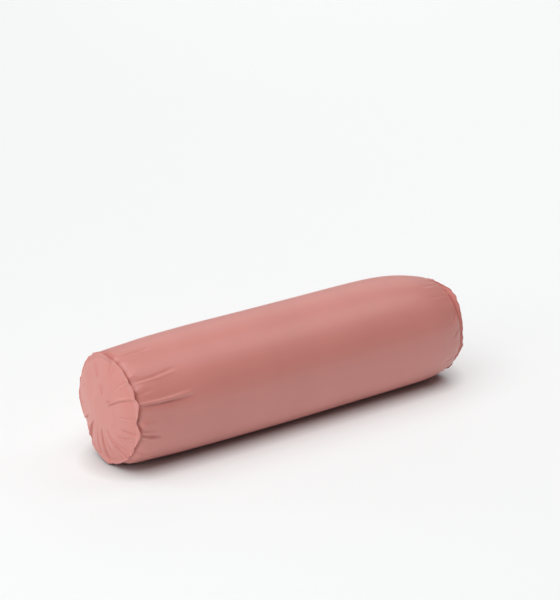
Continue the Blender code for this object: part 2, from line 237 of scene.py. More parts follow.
def pressed(points, inset=0.0, hem=True):
    """The underside flattened by the floor, and the back by the zip, whose tapes hold the cloth straight."""
    z_zip = np.array([math.cos(ZIP_ANGLE), math.sin(ZIP_ANGLE)])
    points[..., 2] = np.maximum(points[..., 2], -AXIS_Z + inset * MM)
    height = points[..., 1:] @ z_zip
    across = points[..., 1:] @ np.array([z_zip[1], -z_zip[0]])
    x = np.abs(points[..., 0]) / MM
    beside = np.clip((HEM_X + HEM_FADE - x) / HEM_FADE, 0, 1) * (height > 0)
    beside = beside * (np.abs(across) < ZIP_STRIP_HALF * MM)
    level = (ZIP_LEVEL - inset) * MM
    if hem:
        folded = np.clip((HEM_HALF * MM - np.abs(across)) / (HEM_STEP * MM), 0, 1) * np.clip(HEM_X - x, 0, 1)
        level = level + HEM_RISE * MM * folded
        height_wanted = np.where(folded > 0.5, level, np.minimum(height, level))
    else:
        height_wanted = np.minimum(height, level)
    points[..., 1:] += (beside * (height_wanted - height))[..., None] * z_zip
    return points


def kept(name, bm, finish):
    """The object made from a finished bmesh, in the scene."""
    mesh = bpy.data.meshes.new(name)
    bm.to_mesh(mesh)
    bm.free()
    if finish:
        mesh.materials.append(finish)
    obj = bpy.data.objects.new(name, mesh)
    bpy.context.scene.collection.objects.link(obj)
    return obj


def grid_mesh(name, points, finish, leave_out=None, flat=False):
    """Quads through closed rows of points, with a UV map in metres: along and round a tube, or, where the
    piece is cut flat, across and up it."""
    rows, cols = points.shape[:2]
    bm = bmesh.new()
    uv = bm.loops.layers.uv.new("cloth")
    verts = [[bm.verts.new(p + AXIS) for p in row] for row in points]
    length = np.concatenate([[0], np.cumsum(np.linalg.norm(np.diff(points[:, 0], axis=0), axis=1))])
    girth = 2 * math.pi * BODY_RADIUS * MM
    for i in range(rows - 1):
        for j in range(cols):
            if leave_out is not None and leave_out(i, j):
                continue
            k = (j + 1) % cols
            face = bm.faces.new((verts[i][j], verts[i][k], verts[i + 1][k], verts[i + 1][j]))
            face.smooth = True
            corners = ((i, j), (i, j + 1), (i + 1, j + 1), (i + 1, j))
            for loop, (a, b) in zip(face.loops, corners):
                loop[uv].uv = points[a, b % cols, 1:] if flat else (length[a], girth * b / cols)
    bmesh.ops.delete(bm, geom=[v for v in bm.verts if not v.link_faces], context="VERTS")
    bmesh.ops.recalc_face_normals(bm, faces=bm.faces)
    middle = Vector(AXIS)
    if sum(face.normal.dot(face.calc_center_median() - middle) * face.calc_area() for face in bm.faces) < 0:
        bmesh.ops.reverse_faces(bm, faces=bm.faces)
    return kept(name, bm, finish)


FILLING_FRAMES = 20


def filled_out(points, rest, sewn, pressure, cap):
    """The cloth as its filling blows it out: a short cloth simulation, with the sewn points held. rest is
    the cloth as cut, so where it is longer than the space, it buckles. No point moves further than cap."""
    scene = bpy.context.scene
    obj = grid_mesh("cloth_being_filled", points, None)
    obj.shape_key_add(name="as_placed")
    cut = obj.shape_key_add(name="as_cut")
    cut.data.foreach_set("co", (rest + AXIS).ravel())
    group = obj.vertex_groups.new(name="sewn")
    group.add([int(i) for i in np.flatnonzero(sewn.ravel())], 1.0, "REPLACE")
    cloth = obj.modifiers.new("filling", "CLOTH")
    settings = cloth.settings
    settings.quality = 5
    settings.mass = 0.02
    settings.tension_stiffness, settings.compression_stiffness = 25, 25
    settings.shear_stiffness, settings.bending_stiffness = 8, 0.05
    settings.use_pressure, settings.uniform_pressure_force = True, pressure
    settings.vertex_group_mass = "sewn"
    settings.rest_shape_key = cut
    settings.effector_weights.gravity = 0
    cloth.point_cache.frame_start, cloth.point_cache.frame_end = 1, FILLING_FRAMES
    for frame_number in range(1, FILLING_FRAMES + 1):
        scene.frame_set(frame_number)
    made = obj.evaluated_get(bpy.context.evaluated_depsgraph_get()).to_mesh()
    out = np.empty(len(made.vertices) * 3, np.float32)
    made.vertices.foreach_get("co", out)
    moved = out.reshape(points.shape) - AXIS - points
    far = np.linalg.norm(moved, axis=-1, keepdims=True)
    mesh = obj.data
    bpy.data.objects.remove(obj)
    bpy.data.meshes.remove(mesh)
    scene.frame_set(1)
    return points + moved * np.minimum(1, cap * MM / np.maximum(far, 1e-9))


def srgb(code):
    """An sRGB hex colour as linear light."""
    parts = [int(code[i : i + 2], 16) / 255 for i in (0, 2, 4)]
    return (*[c / 12.92 if c <= 0.04045 else ((c + 0.055) / 1.055) ** 2.4 for c in parts], 1)


def set_up(made, **settings):
    """Gives a node its properties, input values and links. Input n is given as _n, and spaces as __."""
    for key, value in settings.items():
        if key[0] == "_":
            made_input = made.inputs[int(key[1:])]
        elif key.replace("__", " ") in made.inputs:
            made_input = made.inputs[key.replace("__", " ")]
        else:
            setattr(made, key, value)
            continue
        if isinstance(value, bpy.types.NodeSocket):
            made.id_data.links.new(value, made_input)
        else:
            made_input.default_value = value
    return made


def add_node(tree, kind, **settings):
    return set_up(tree.nodes.new(kind), **settings)


def new_material(name):
    made = bpy.data.materials.new(name)
    made.use_nodes = True
    return made, made.node_tree, made.node_tree.nodes["Principled BSDF"]


def sateen_material():
    """Combed cotton sateen, mercerised and piece-dyed: long floats on the face give a soft, satiny
    sheen that follows the form, with faint bands from the dye and from lying folded."""
    made, tree, shader = new_material("cotton_sateen_dusty_pink")
    cloth = add_node(tree, "ShaderNodeUVMap", uv_map="cloth").outputs[0]
    place = add_node(tree, "ShaderNodeTexCoord").outputs["Object"]
    # A wave texture's threads lie 314 mm / Scale apart. These lie 0.25 mm apart in the cloth, which is too
    # fine to show, so the warp is drawn 3.1 mm apart and the weft 5 mm.
    warp = add_node(tree, "ShaderNodeTexWave", Vector=cloth, Scale=100.0, bands_direction="Y",
                    Distortion=0.6, Detail=1.0)
    weft = add_node(tree, "ShaderNodeTexWave", Vector=cloth, Scale=62.5, bands_direction="X",
                    Distortion=0.8, Detail=1.0)
    weave = add_node(tree, "ShaderNodeMath", operation="MULTIPLY", _0=warp.outputs["Fac"],
                     _1=weft.outputs["Fac"])
    slub_place = add_node(tree, "ShaderNodeMapping", Vector=cloth, Scale=(6, 900, 1))
    slub = add_node(tree, "ShaderNodeTexNoise", Vector=slub_place.outputs[0], Scale=1.0, Detail=2.0)
    band_place = add_node(tree, "ShaderNodeMapping", Vector=cloth, Scale=(14, 1.5, 1))
    bands = add_node(tree, "ShaderNodeTexNoise", Vector=band_place.outputs[0], Scale=1.0, Detail=3.0)
    cloud = add_node(tree, "ShaderNodeTexNoise", Vector=place, Scale=7.0, Detail=3.0)
    half_cloud = add_node(tree, "ShaderNodeMath", operation="MULTIPLY", _0=cloud.outputs["Fac"], _1=0.5)
    tone = add_node(tree, "ShaderNodeMath", operation="MULTIPLY_ADD", _0=bands.outputs["Fac"], _1=0.5,
                    _2=half_cloud.outputs[0])
    dye = add_node(tree, "ShaderNodeValToRGB", Fac=tone.outputs[0])
    dye.color_ramp.elements[0].position, dye.color_ramp.elements[0].color = 0.3, srgb("CF837A")
    dye.color_ramp.elements[1].position, dye.color_ramp.elements[1].color = 0.7, srgb("D88980")
    shade = add_node(tree, "ShaderNodeMix", data_type="RGBA", blend_type="MULTIPLY", _0=0.05,
                     _6=dye.outputs[0], _7=slub.outputs["Color"])
    rise = add_node(tree, "ShaderNodeBump", Strength=0.12, Distance=0.0002, Height=weave.outputs[0])
    crumple_place = add_node(tree, "ShaderNodeMapping", Vector=cloth, Scale=(20, 9, 1))
    crumple = add_node(tree, "ShaderNodeTexNoise", Vector=crumple_place.outputs[0], Scale=1.0, Detail=4.0)
    soft = add_node(tree, "ShaderNodeBump", Strength=0.25, Distance=0.002, Height=crumple.outputs["Fac"],
                    Normal=rise.outputs[0])
    rough = add_node(tree, "ShaderNodeMapRange", Value=weave.outputs[0], To__Min=0.38, To__Max=0.5)
    set_up(shader, Base__Color=shade.outputs[2], Roughness=rough.outputs[0], Normal=soft.outputs[0],
           Sheen__Weight=0.12, Sheen__Roughness=0.4, Sheen__Tint=srgb("FFFFFF"), Specular__IOR__Level=0.75)
    return made


def add_wall(obj, thickness):
    """Gives the cloth its thickness, inwards."""
    wall = obj.modifiers.new("cloth_thickness", "SOLIDIFY")
    wall.thickness, wall.offset = thickness, -1.0
    wall.use_even_offset = False
    return obj


SATEEN = sateen_material()


def in_slot(i, j):
    """Whether the face at row i and column j lies in the zip's slot."""
    middle = body_points[i : i + 2, 0, 0].mean()
    return abs(middle) < SLOT_X * MM and min(j, AROUND - 1 - j) < SLOT_COLUMNS


# The cloth starts a little smaller than the filled body, and is cut fuller than it, which makes it gather.
BEFORE_FILLING, CUT_FULL, FILLING_PRESSURE, MOST_MOVED = 0.8, 2.2, 4.0, 3.0
HELD_BY_ZIP = math.radians(9)
body_points = body_grid(shrink=BEFORE_FILLING)
sewn = np.abs(body_points[..., 0]) > (NECK_X - 0.2) * MM
sewn |= np.abs((ANGLES - ZIP_ANGLE + np.pi) % (2 * np.pi) - np.pi)[None] < HELD_BY_ZIP
body_points = filled_out(body_points, body_grid(gathered=CUT_FULL), sewn, FILLING_PRESSURE, MOST_MOVED)
body_points = pressed(creased(body_points))
cover = grid_mesh("cover_body_sateen", body_points, SATEEN, in_slot)
add_wall(cover, CLOTH * MM)
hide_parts("cover_body")
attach(cover, "bolster")

# ---- End panels
# A round of the same sateen at each end, sewn by its rim to the collar. It is cut larger than the
# neck, so the thread that draws the neck in throws it into pleats, which run out from the smooth
# middle that the filling holds taut.

PATCH_RADIUS = 33.0
PANEL_X, DOME, DOME_POWER = 335.0, 8.5, 3.2
NECK_ROOM, RIM_CURL = 2.5, 1.6

# (degrees at its inner end and at the rim, inner and outer radius, depth, half width, ridge beside it)
PLEATS = {
    -1: [
        (-76, -95, 34, 98, 4.2, 1.7, 2.2), (-108, -132, 30, 92, 3.4, 1.7, 1.9),
        (-42, -56, 44, 98, 4.4, 1.9, 3.4), (-118, -148, 42, 90, 1.6, 1.6, 1.0),
        (-92, -113, 46, 94, 1.5, 1.6, 0.9), (-62, -78, 44, 96, 1.6, 1.7, 1.0),
        (-140, -166, 46, 84, 1.8, 1.6, 1.2), (-163, -171, 50, 92, 2.4, 1.6, 1.6),
        (141, 154, 18, 98, 2.4, 1.6, -2.4), (176, 172, 40, 92, 1.9, 1.7, 1.2),
        (126, 131, 50, 97, 1.2, 1.8, 0.9), (84, 78, 26, 46, 2.4, 1.6, 1.6), (70, 66, 52, 80, 2.6, 1.7, 1.6),
        (116, 138, 20, 32, 2.6, 1.6, 1.8), (103, 98, 58, 94, 1.5, 2.0, 1.0),
        (44, 42, 52, 92, 1.0, 2.2, 0.7), (18, 16, 56, 88, 1.2, 2.0, 0.9), (-8, -10, 62, 90, 1.2, 2.0, 0.7),
        (-27, -33, 58, 86, 3.4, 1.8, 2.2),
    ],
    1: [
        (8, 12, 36, 92, 1.4, 2.4, 0.9), (30, 36, 40, 92, 1.0, 2.4, 0.7), (52, 50, 34, 90, 1.6, 2.2, 1.0),
        (76, 84, 42, 92, 1.1, 2.6, 0.6), (98, 96, 36, 90, 1.8, 2.2, 1.1), (121, 128, 40, 92, 1.0, 2.4, 0.7),
        (146, 142, 38, 92, 1.5, 2.2, 0.9), (168, 174, 36, 90, 1.2, 2.4, 0.7),
        (191, 188, 42, 92, 1.7, 2.2, 1.0), (214, 222, 38, 92, 1.2, 2.4, 0.8),
        (238, 234, 36, 90, 2.0, 2.2, 1.2), (262, 270, 40, 92, 1.3, 2.4, 0.8),
        (287, 283, 38, 92, 1.8, 2.2, 1.1), (309, 316, 42, 90, 1.1, 2.4, 0.7),
        (336, 332, 36, 92, 1.5, 2.2, 0.9),
    ],
}


def panel_height(side, r, angles):
    """How far the panel stands out of the plane of its rim, in mm, on a grid of radius by angle."""
    t = np.clip(r / NECK_RADIUS[side], 0, None)
    dome = DOME * np.clip(1 - t**DOME_POWER, 0, 1) + 0.5
    edge = 1 / (1 + np.exp((r - PATCH_RADIUS) / 1.2))
    pleated = np.clip((r - PATCH_RADIUS - 4) / 40, 0, 1)
    slack = 0.12 + 0.88 * np.clip(-np.sin(angles + 0.25), 0, 1) ** 0.7
    lumps = 0.9 * np.clip(r / 50, 0, 1) ** 3 * np.sin(r / 17 + 1.3 * np.cos(2 * angles[None] + 0.6))
    lumps = lumps * np.cos(angles[None] * 3 + 1)
    broad, fine = waves(angles, 61 + side, 11, 22, 8)[None], waves(angles, 71 + side, 24, 40, 8)[None]
    total = dome + 0.45 * edge + lumps + pleated * slack * (0.55 * broad + 0.25 * fine)
    for first, last, inner, outer, depth, half_width, ridge in PLEATS[side]:
        along = (r - inner) / (outer - inner)
        share = np.clip(along, 0, 1)
        middle = np.radians(first + (last - first) * share)
        off = (angles[None] - middle + np.pi) % (2 * np.pi) - np.pi
        total = total + crease(off * r, along, depth, half_width * (0.5 + 0.9 * share), ridge)
    return total


def panel_grid(side):
    neck = NECK_RADIUS[side]
    rim = rim_radius(side, ANGLES)
    lean = flange_lean(side, ANGLES)
    # Where the thread pulls the rim in past the neck, the panel inside it narrows too.
    inside = np.minimum(neck, rim - NECK_ROOM)
    radii = np.concatenate([[0.8, 2, 4], np.arange(7, 28, 3.5), np.arange(28, neck, 1.3)])
    flange = np.linspace(0, 1, 9)[1:, None]
    r = np.concatenate([radii[:, None] * inside / neck, inside + (rim - inside) * flange])
    share = np.concatenate([0 * radii[:, None], flange])
    x = PANEL_X + panel_height(side, r, ANGLES) * (1 - 0.35 * share) + lean * share**1.5
    x = x - RIM_CURL * np.clip((share - 0.8) / 0.2, 0, 1) ** 2
    return np.stack([side * x, r * np.cos(ANGLES), r * np.sin(ANGLES) - END_SAG[side]], -1) * MM


def close_middle(obj, points, ring):
    """Fills the small hole at the middle of a round. The first row of its points is the hole's edge."""
    centre = Vector(points[0].mean(axis=0)) + Vector(AXIS)
    bm = bmesh.new()
    bm.from_mesh(obj.data)
    open_edges = [e for e in bm.edges if e.is_boundary]
    middle = [e for e in open_edges if all((v.co - centre).length < ring for v in e.verts)]
    bmesh.ops.edgenet_fill(bm, edges=middle)
    for face in bm.faces:
        face.smooth = True
    bm.to_mesh(obj.data)
    bm.free()


for side, end in ((-1, "left"), (1, "right")):
    points = panel_grid(side)
    panel = grid_mesh(f"end_panel_{end}_sateen", points, SATEEN, flat=True)
    close_middle(panel, points, 1.5 * MM)
    add_wall(panel, CLOTH * MM)
    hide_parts(f"cover_end_{end}")
    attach(panel, "bolster")

# ---- Neck threads
# Spun polyester sewing thread, three plies twisted together. One runs round in each neck and is drawn
# tight and tied, which is what gathers the cover.


def mesh_object(name, verts, faces, finish):
    mesh = bpy.data.meshes.new(name)
    mesh.from_pydata([tuple(map(float, v)) for v in verts], [], faces)
    mesh.polygons.foreach_set("use_smooth", [True] * len(mesh.polygons))
    mesh.materials.append(finish)
    obj = bpy.data.objects.new(name, mesh)
    bpy.context.scene.collection.objects.link(obj)
    return obj


def tube_round(path, radius, sides, beside=(1.0, 0.0, 0.0)):
    """Points and faces of a round tube along a closed path, which never runs in the direction of beside."""
    path = np.array(path, float)
    ahead = np.roll(path, -1, 0) - np.roll(path, 1, 0)
    ahead /= np.linalg.norm(ahead, axis=1, keepdims=True)
    out = np.cross(ahead, np.tile(beside, (len(path), 1)))
    out /= np.linalg.norm(out, axis=1, keepdims=True)
    up = np.cross(out, ahead)
    turns = np.linspace(0, 2 * np.pi, sides, endpoint=False)
    ring = np.cos(turns)[None, :, None] * out[:, None] + np.sin(turns)[None, :, None] * up[:, None]
    verts = (path[:, None] + radius * ring).reshape(-1, 3)
    faces = []
    for i in range(len(path)):
        here, there = i * sides, (i + 1) % len(path) * sides
        for j in range(sides):
            k = (j + 1) % sides
            faces.append((here + j, here + k, there + k, there + j))
    return verts, faces


def thread_material():
    """Spun polyester thread, dyed to match: matt, with fine hairs that blur its edge."""
    made, tree, shader = new_material("spun_polyester_thread")
    place = add_node(tree, "ShaderNodeTexCoord").outputs["Object"]
    fuzz = add_node(tree, "ShaderNodeTexNoise", Vector=place, Scale=4000.0, Detail=3.0)
    tone = add_node(tree, "ShaderNodeValToRGB", Fac=fuzz.outputs["Fac"])
    tone.color_ramp.elements[0].color, tone.color_ramp.elements[1].color = srgb("C27D73"), srgb("DE9C92")
    rise = add_node(tree, "ShaderNodeBump", Strength=0.4, Distance=0.0001, Height=fuzz.outputs["Fac"])
    set_up(shader, Base__Color=tone.outputs[0], Normal=rise.outputs[0], Roughness=0.8, Sheen__Weight=0.3)
    return made


THREAD = thread_material()
PLIES, PLY_RADIUS, PLY_FROM_MIDDLE = 3, 0.28, 0.3
THREAD_TWISTS, THREAD_STEPS = 150, 900
THREAD_X, THREAD_LIFT = NECK_X + 0.2, 0.75
for side, end in ((-1, "left"), (1, "right")):
    verts, faces = [], []
    around = np.linspace(0, 2 * np.pi, THREAD_STEPS, endpoint=False)
    for ply in range(PLIES):
        twist = around * THREAD_TWISTS + ply * 2 * np.pi / PLIES
        r = NECK_RADIUS[side] + THREAD_LIFT + PLY_FROM_MIDDLE * np.cos(twist)
        x = side * THREAD_X + PLY_FROM_MIDDLE * np.sin(twist)
        path = np.stack([x, r * np.cos(around), r * np.sin(around) - END_SAG[side]], -1) * MM
        ply_verts, ply_faces = tube_round(path + AXIS, PLY_RADIUS * MM, 5)
        faces += [tuple(corner + len(verts) for corner in face) for face in ply_faces]
        verts += list(ply_verts)
    thread = mesh_object(f"neck_thread_{end}_three_ply", verts, faces, THREAD)
    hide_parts(f"neck_thread_{end}")
    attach(thread, "bolster")

# ---- Zip tapes
# Two woven polyester tapes behind the slot, each with its coil sewn along its inner edge. They lie on
# the back of the bolster, low enough not to be felt, and the cover's turned edges are stitched to them.

ZIP_TURN = Matrix.Rotation(ZIP_ANGLE - math.pi / 2, 4, "X")
ZIP_FRAME = Matrix.Translation(AXIS) @ ZIP_TURN


def zip_point(x, across, height):
    """A point beside the zip: along it, down the cover from its middle, and above the cover's face."""
    return Vector(AXIS) + ZIP_TURN @ Vector((x * MM, across * MM, (ZIP_LEVEL + height) * MM))


def tape_material():
    """Woven polyester zip tape: a close herringbone of matt, slightly shiny yarn, stiffer than the cover."""
    made, tree, shader = new_material("woven_polyester_tape")
    cloth = add_node(tree, "ShaderNodeUVMap", uv_map="cloth").outputs[0]
    # Yarns 0.3 mm apart, too fine to show, drawn as ribs 7.5 mm apart with a slant of the same spacing.
    slant = add_node(tree, "ShaderNodeTexWave", Vector=cloth, Scale=1 / 0.012, bands_direction="DIAGONAL")
    ribs = add_node(tree, "ShaderNodeTexWave", Vector=cloth, Scale=1 / 0.024, bands_direction="X")
    weave = add_node(tree, "ShaderNodeMath", operation="MULTIPLY", _0=slant.outputs["Fac"],
                     _1=ribs.outputs["Fac"])
    tone = add_node(tree, "ShaderNodeValToRGB", Fac=weave.outputs[0])
    tone.color_ramp.elements[0].color, tone.color_ramp.elements[1].color = srgb("A9635B"), srgb("BF7A71")
    rise = add_node(tree, "ShaderNodeBump", Strength=0.5, Distance=0.0002, Height=weave.outputs[0])
    set_up(shader, Base__Color=tone.outputs[0], Normal=rise.outputs[0], Roughness=0.7, Sheen__Weight=0.2)
    return made


TAPE = tape_material()
TAPE_TOP, TAPE_THICKNESS = -1.3, 0.5
TAPE_EDGE, TAPE_WIDTH, TAPE_X = 0.5, 12.0, 196.0


def flat_cloth(name, xs, across, rise, thickness, finish):
    """A strip beside the zip, face up, with its UV map in metres. rise(x, across) is its height."""
    bm = bmesh.new()
    uv = bm.loops.layers.uv.new("cloth")
    verts = [[bm.verts.new(zip_point(x, v, rise(x, v))) for v in across] for x in xs]
    up = ZIP_TURN @ Vector((0, 0, 1))
    for i in range(len(xs) - 1):
        for j in range(len(across) - 1):
            face = bm.faces.new((verts[i][j], verts[i + 1][j], verts[i + 1][j + 1], verts[i][j + 1]))
            face.smooth = True
            corners = ((i, j), (i + 1, j), (i + 1, j + 1), (i, j + 1))
            for loop, (a, b) in zip(face.loops, corners):
                loop[uv].uv = (xs[a] * MM, across[b] * MM)
    bm.normal_update()
    if sum(face.normal.dot(up) for face in bm.faces) < 0:
        bmesh.ops.reverse_faces(bm, faces=bm.faces)
    return add_wall(kept(name, bm, finish), thickness * MM)


def tape_rise(x, across):
    """Small waves along the tape's free edge, and a raised selvedge."""
    edge = abs(across) / TAPE_WIDTH
    return TAPE_TOP - 0.02 - 0.12 * edge * (1 + math.sin(x / 13 + across)) / 2


for way, name in ((-1, "upper"), (1, "lower")):
    edges = way * np.array([TAPE_EDGE, 1.5, 3, 4.5, 6, 8, 10, 11.4, TAPE_WIDTH])
    lengths = np.linspace(-TAPE_X, TAPE_X, 197)
    tape = flat_cloth(f"zip_tape_{name}_woven", lengths, edges, tape_rise, TAPE_THICKNESS, TAPE)
    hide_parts(f"zip_tape_{name}")
    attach(tape, "bolster")

# ---- Zip coils
# Nylon monofilament wound as one long flattened coil and sewn to each tape. The two mesh along the
# middle. The coil goes on until its end stops.


def nylon_material():
    """Dyed nylon monofilament: smooth and slightly clear, so it glints more than the cloth around it."""
    made, tree, shader = new_material("dyed_nylon_monofilament")
    place = add_node(tree, "ShaderNodeTexCoord").outputs["Object"]
    cloud = add_node(tree, "ShaderNodeTexNoise", Vector=place, Scale=120.0, Detail=2.0)
    tone = add_node(tree, "ShaderNodeValToRGB", Fac=cloud.outputs["Fac"])
    tone.color_ramp.elements[0].color, tone.color_ramp.elements[1].color = srgb("B9736A"), srgb("C8837A")
    rough = add_node(tree, "ShaderNodeMapRange", Value=cloud.outputs["Fac"], To__Min=0.25, To__Max=0.4)
    set_up(shader, Base__Color=tone.outputs[0], Roughness=rough.outputs[0], IOR=1.53)
    return made


def new_tree(name, inputs):
    """A Geometry Nodes tree with a mesh in, a mesh out and these named sizes."""
    tree = bpy.data.node_groups.new(name, "GeometryNodeTree")
    tree.interface.new_socket("Geometry", in_out="INPUT", socket_type="NodeSocketGeometry")
    for label, kind in inputs:
        tree.interface.new_socket(label, in_out="INPUT", socket_type=kind)
    tree.interface.new_socket("Geometry", in_out="OUTPUT", socket_type="NodeSocketGeometry")
    return tree, add_node(tree, "NodeGroupInput"), add_node(tree, "NodeGroupOutput")


def finished_tree(tree, made, out, finish):
    """Ends a tree: what it made becomes real, smooth and coated with its finish."""
    smooth = add_node(tree, "GeometryNodeSetShadeSmooth", Geometry=made.outputs[0])
    real = add_node(tree, "GeometryNodeRealizeInstances", Geometry=smooth.outputs[0])
    coat = add_node(tree, "GeometryNodeSetMaterial", Geometry=real.outputs[0], Material=finish)
    tree.links.new(coat.outputs[0], out.inputs[0])
    return tree


def grown(name, tree, values, source=None):
    """Runs the tree on an object, as values by input name, and keeps the result as a plain mesh."""
    obj = bpy.data.objects.new(name, source or bpy.data.meshes.new(name + "_start"))
    bpy.context.scene.collection.objects.link(obj)
    nodes = obj.modifiers.new("grown", "NODES")
    nodes.node_group = tree
    for item in tree.interface.items_tree:
        if item.item_type == "SOCKET" and item.in_out == "INPUT" and item.name in values:
            nodes[item.identifier] = values[item.name]
    graph = bpy.context.evaluated_depsgraph_get()
    mesh = bpy.data.meshes.new_from_object(obj.evaluated_get(graph))
    mesh.name = name
    obj.modifiers.clear()
    obj.data = mesh
    return obj


def coil_tree(finish):
    tree, given, out = new_tree("coil", [
        ("Length", "NodeSocketFloat"), ("Turns", "NodeSocketFloat"), ("Half Width", "NodeSocketFloat"),
        ("Half Height", "NodeSocketFloat"), ("Wire Radius", "NodeSocketFloat"),
    ])
    spiral = add_node(tree, "GeometryNodeCurveSpiral", Resolution=14, Rotations=given.outputs["Turns"],
                      Start__Radius=1.0, End__Radius=1.0, Height=given.outputs["Length"])
    size = add_node(tree, "ShaderNodeCombineXYZ", X=given.outputs["Half Width"],
                    Y=given.outputs["Half Height"], Z=1.0)
    flat = add_node(tree, "GeometryNodeTransform", Geometry=spiral.outputs[0], Scale=size.outputs[0])
    wire = add_node(tree, "GeometryNodeCurvePrimitiveCircle", Resolution=6,
                    Radius=given.outputs["Wire Radius"])
    tube = add_node(tree, "GeometryNodeCurveToMesh", Curve=flat.outputs[0], Profile__Curve=wire.outputs[0],
                    Fill__Caps=True)
    return finished_tree(tree, tube, out, finish)


COIL_LENGTH, COIL_PITCH, WIRE_RADIUS = 360.0, 1.2, 0.28
COIL_INNER, COIL_OUTER = 0.1, 3.0
COIL_BOTTOM, COIL_TOP = -0.98, 0.78
COIL_TREE = coil_tree(nylon_material())
for way, name in ((-1, "upper"), (1, "lower")):
    coil = grown(f"zip_coil_{name}_wound", COIL_TREE, {
        "Length": (COIL_LENGTH - 2 * WIRE_RADIUS - COIL_PITCH / 2) * MM,
        "Turns": COIL_LENGTH / COIL_PITCH - 1,
        "Half Width": ((COIL_OUTER - COIL_INNER) / 2 - WIRE_RADIUS) * MM,
        "Half Height": ((COIL_TOP - COIL_BOTTOM) / 2 - WIRE_RADIUS) * MM,
        "Wire Radius": WIRE_RADIUS * MM,
    })
    # The coil is wound along its own Z, from 0 up: laid along X, and turned so that the two mesh.
    along = Matrix(((0, 0, 1, 0), (way, 0, 0, 0), (0, 1, 0, 0), (0, 0, 0, 1)))
    start = WIRE_RADIUS - COIL_LENGTH / 2 + (COIL_PITCH / 2 if way > 0 else 0)
    lift = zip_point(start, way * (COIL_INNER + COIL_OUTER) / 2, (COIL_TOP + COIL_BOTTOM) / 2)
    coil.data.transform(Matrix.Translation(lift) @ ZIP_TURN @ along)
    if way < 0:
        coil.data.flip_normals()
    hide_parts(f"zip_coil_{name}")
    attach(coil, "bolster")

# ---- Zip stops
# Zinc, pressed round the ends of the coils so that the slider can't run off them, and nickel-plated.


def nickel_material():
    """Nickel-plated zinc, tumbled so that its edges are round: a warm silver with a soft, even shine."""
    made, tree, shader = new_material("tumbled_nickel_plate")
    place = add_node(tree, "ShaderNodeTexCoord").outputs["Object"]
    # Tumbling marks 0.2 mm across, drawn 0.5 mm across so that they show.
    wear = add_node(tree, "ShaderNodeTexNoise", Vector=place, Scale=1 / 0.0005, Detail=3.0)
    tone = add_node(tree, "ShaderNodeValToRGB", Fac=wear.outputs["Fac"])
    tone.color_ramp.elements[0].color, tone.color_ramp.elements[1].color = srgb("DAD6CF"), srgb("E1DDD7")
    rough = add_node(tree, "ShaderNodeMapRange", Value=wear.outputs["Fac"], To__Min=0.24, To__Max=0.3)
    set_up(shader, Base__Color=tone.outputs[0], Roughness=rough.outputs[0], Metallic=1.0)
    return made


def cast(name, parts, finish):
    """One casting from several slabs, each (outlines, low, high, rounding, on_edge). An outline is corners
    along and across the zip, and a further one is a hole. On its edge, it is along the zip and up."""
    bm = bmesh.new()
    for outlines, low, high, rounding, on_edge in parts:
        curve = bpy.data.curves.new("slab", "CURVE")
        curve.dimensions, curve.fill_mode = "2D", "BOTH"
        curve.extrude = ((high - low) / 2 - rounding) * MM
        curve.bevel_depth, curve.bevel_resolution, curve.offset = rounding * MM, 2, -rounding * MM
        for corners in outlines:
            line = curve.splines.new("POLY")
            line.points.add(len(corners) - 1)
            for point, (x, v) in zip(line.points, corners):
                point.co = (x * MM, v * MM, 0, 1)
            line.use_cyclic_u = True
        slab = bpy.data.objects.new("slab", curve)
        bpy.context.scene.collection.objects.link(slab)
        graph = bpy.context.evaluated_depsgraph_get()
        made = bpy.data.meshes.new_from_object(slab.evaluated_get(graph))
        middle = (low + high) / 2
        if on_edge:
            lift = Matrix.Translation((0, -middle * MM, ZIP_LEVEL * MM))
            made.transform(lift @ Matrix.Rotation(math.pi / 2, 4, "X"))
        else:
            made.transform(Matrix.Translation((0, 0, (ZIP_LEVEL + middle) * MM)))
        made.transform(ZIP_FRAME)
        start = len(bm.verts)
        bm.from_mesh(made)
        bm.verts.ensure_lookup_table()
        bmesh.ops.remove_doubles(bm, verts=bm.verts[start:], dist=1e-6)
        bpy.data.objects.remove(slab)
        bpy.data.curves.remove(curve)
        bpy.data.meshes.remove(made)
    bmesh.ops.recalc_face_normals(bm, faces=bm.faces)
    for face in bm.faces:
        face.smooth = len(face.verts) < 5
    return kept(name, bm, finish)


def rounded_box(x0, x1, v0, v1, radius, steps=5):
    """Corners of a box with rounded corners."""
    corners = []
    for cx, cv, first in ((x1, v1, 0), (x0, v1, 90), (x0, v0, 180), (x1, v0, 270)):
        cx -= math.copysign(radius, cx - (x0 + x1) / 2)
        cv -= math.copysign(radius, cv - (v0 + v1) / 2)
        for step in range(steps + 1):
            turn = math.radians(first + 90 * step / steps)
            corners.append((cx + radius * math.cos(turn), cv + radius * math.sin(turn)))
    return corners


NICKEL = nickel_material()
STOP_START, STOP_END, STOP_TOP = 180.4, 183.2, 1.8
for name, x0, x1, v0, v1 in (
    ("zip_bottom_stop", -STOP_END, -STOP_START, -COIL_OUTER, COIL_OUTER),
    ("zip_top_stop_upper", STOP_START, STOP_END, -COIL_OUTER, -TAPE_EDGE),
    ("zip_top_stop_lower", STOP_START, STOP_END, TAPE_EDGE, COIL_OUTER),
):
    block = rounded_box(x0, x1, v0, v1, 0.5)
    stop = cast(name + "_pressed", [([block], COIL_BOTTOM, STOP_TOP, 0.35, False)], NICKEL)
    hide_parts(name)
    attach(stop, "bolster")

# ---- Zip slider
# A die-cast zinc slider. Its two plates hold the coils between them, a post parts them at its front, and
# a bail over the top carries the pull.

